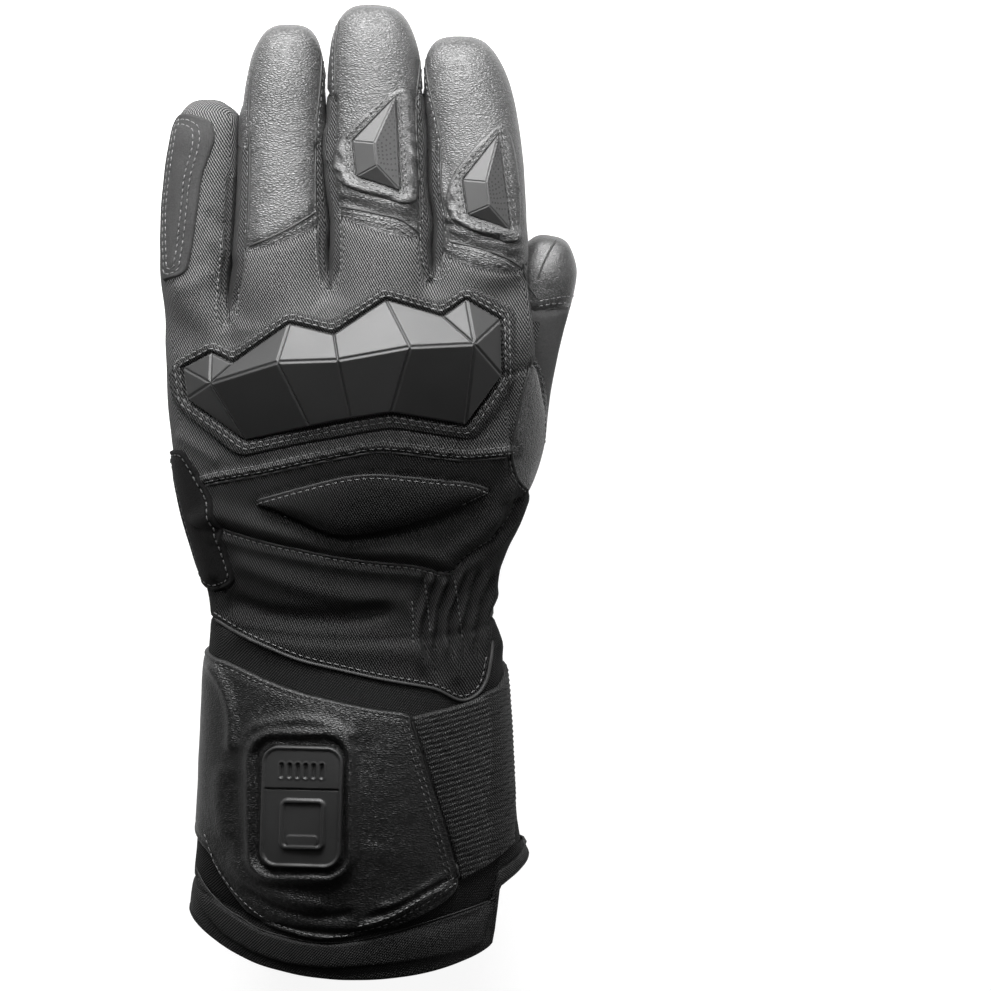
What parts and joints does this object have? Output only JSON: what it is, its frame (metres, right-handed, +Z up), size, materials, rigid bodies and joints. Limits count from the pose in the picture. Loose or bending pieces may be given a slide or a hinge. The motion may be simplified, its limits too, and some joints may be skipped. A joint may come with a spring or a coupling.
{
  "type": "heated motorcycle glove",
  "caption": "Left motorcycle gauntlet glove with battery heating: padded hand and cuff, faceted knuckle and finger guards, cuff control button, webbing strap.",
  "frame": {"origin": "on the resting plane, below the middle of the glove's box", "axes": "+Z up, out of the back of the hand; +Y to the fingertips, -Y out of the cuff's mouth; +X to the thumb side"},
  "size_m": [0.1384, 0.319, 0.0693],
  "materials": {
    "twill": "dark padded twill, matt",
    "leather": "smooth black leather, satin",
    "palm_leather": "grained black leather, satin",
    "suede": "dark grey suede, matt",
    "softshell": "black softshell, matt",
    "moulded_guard": "moulded black rubber-like plastic, satin",
    "rubber": "black rubber, satin",
    "webbing": "ribbed black webbing, matt",
    "loop_fabric": "black hook-and-loop pile, matt"
  },
  "bodies": {
    "root": {"hand_back": "twill", "palm": "palm_leather", "finger_back_ring": "leather", "finger_back_middle": "leather", "finger_back_index": "leather", "strip_little_ring": "twill", "strip_ring_middle": "twill", "strip_middle_index": "twill", "thumb_back": "suede", "thumb_pad": "palm_leather", "thumb_cap": "twill", "cuff": "softshell", "hem_band": "softshell", "lens_pad": "twill", "little_finger_patch": "leather", "side_patch": "suede", "knuckle_frame": "twill", "knuckle_guard": "moulded_guard", "finger_guard_middle": "moulded_guard", "finger_guard_index": "moulded_guard", "cuff_panel": "leather", "control_housing": "rubber", "control_button": "rubber", "cuff_strap": "webbing", "strap_tab": "leather", "loop_patch": "loop_fabric", "wrist_tab": "leather", "hem_tab": "leather", "palm_patch": "suede", "palm_slider": "moulded_guard", "touch_patch": "palm_leather"}
  },
  "joints": []
}
